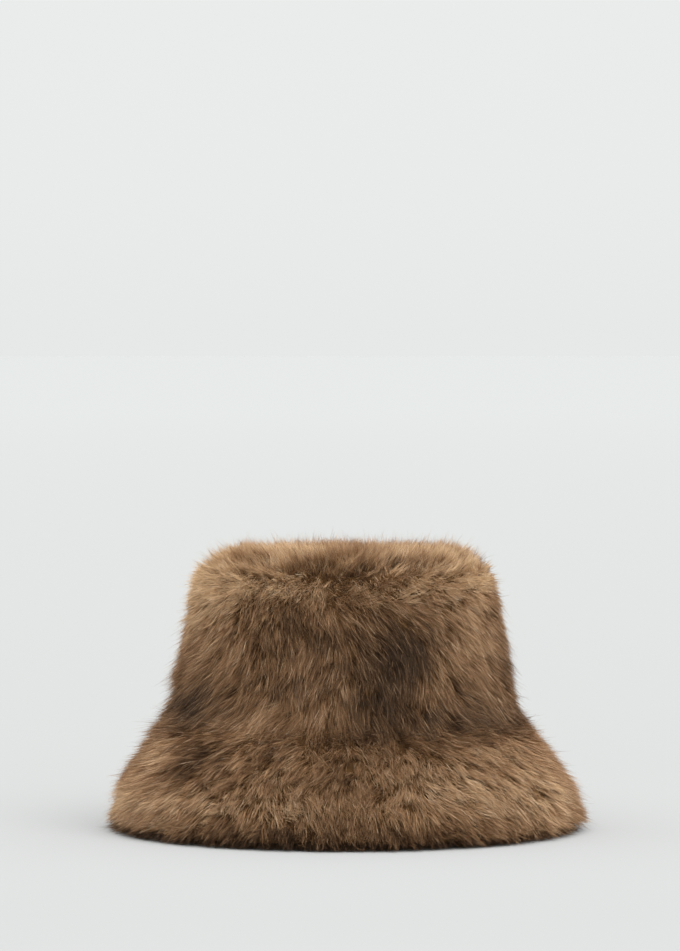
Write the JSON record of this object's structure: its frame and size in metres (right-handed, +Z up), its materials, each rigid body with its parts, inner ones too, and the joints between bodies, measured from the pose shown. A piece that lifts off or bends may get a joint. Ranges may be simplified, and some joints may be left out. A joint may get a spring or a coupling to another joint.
{
  "type": "fur bucket hat",
  "caption": "Bucket hat of long brown faux fur with a flat-topped crown, a flared brim and an open hollow for the head.",
  "frame": {"origin": "on the surface that the hat stands on, under the middle of the brim's outline", "axes": "+Z up through the crown, front towards -Y, +X to the right as seen from the front; the longer way of the oval runs along Y"},
  "size_m": [0.3026, 0.3096, 0.1775],
  "materials": {
    "fur": "long soft pile, matte, mottled brown with darker patches",
    "backing_cloth": "matte knitted cloth"
  },
  "bodies": {
    "root": {"crown_top_backing": "backing_cloth", "crown_side_backing": "backing_cloth", "brim_backing": "backing_cloth", "crown_top_fur": "fur", "crown_side_fur": "fur", "brim_fur": "fur"}
  },
  "joints": []
}
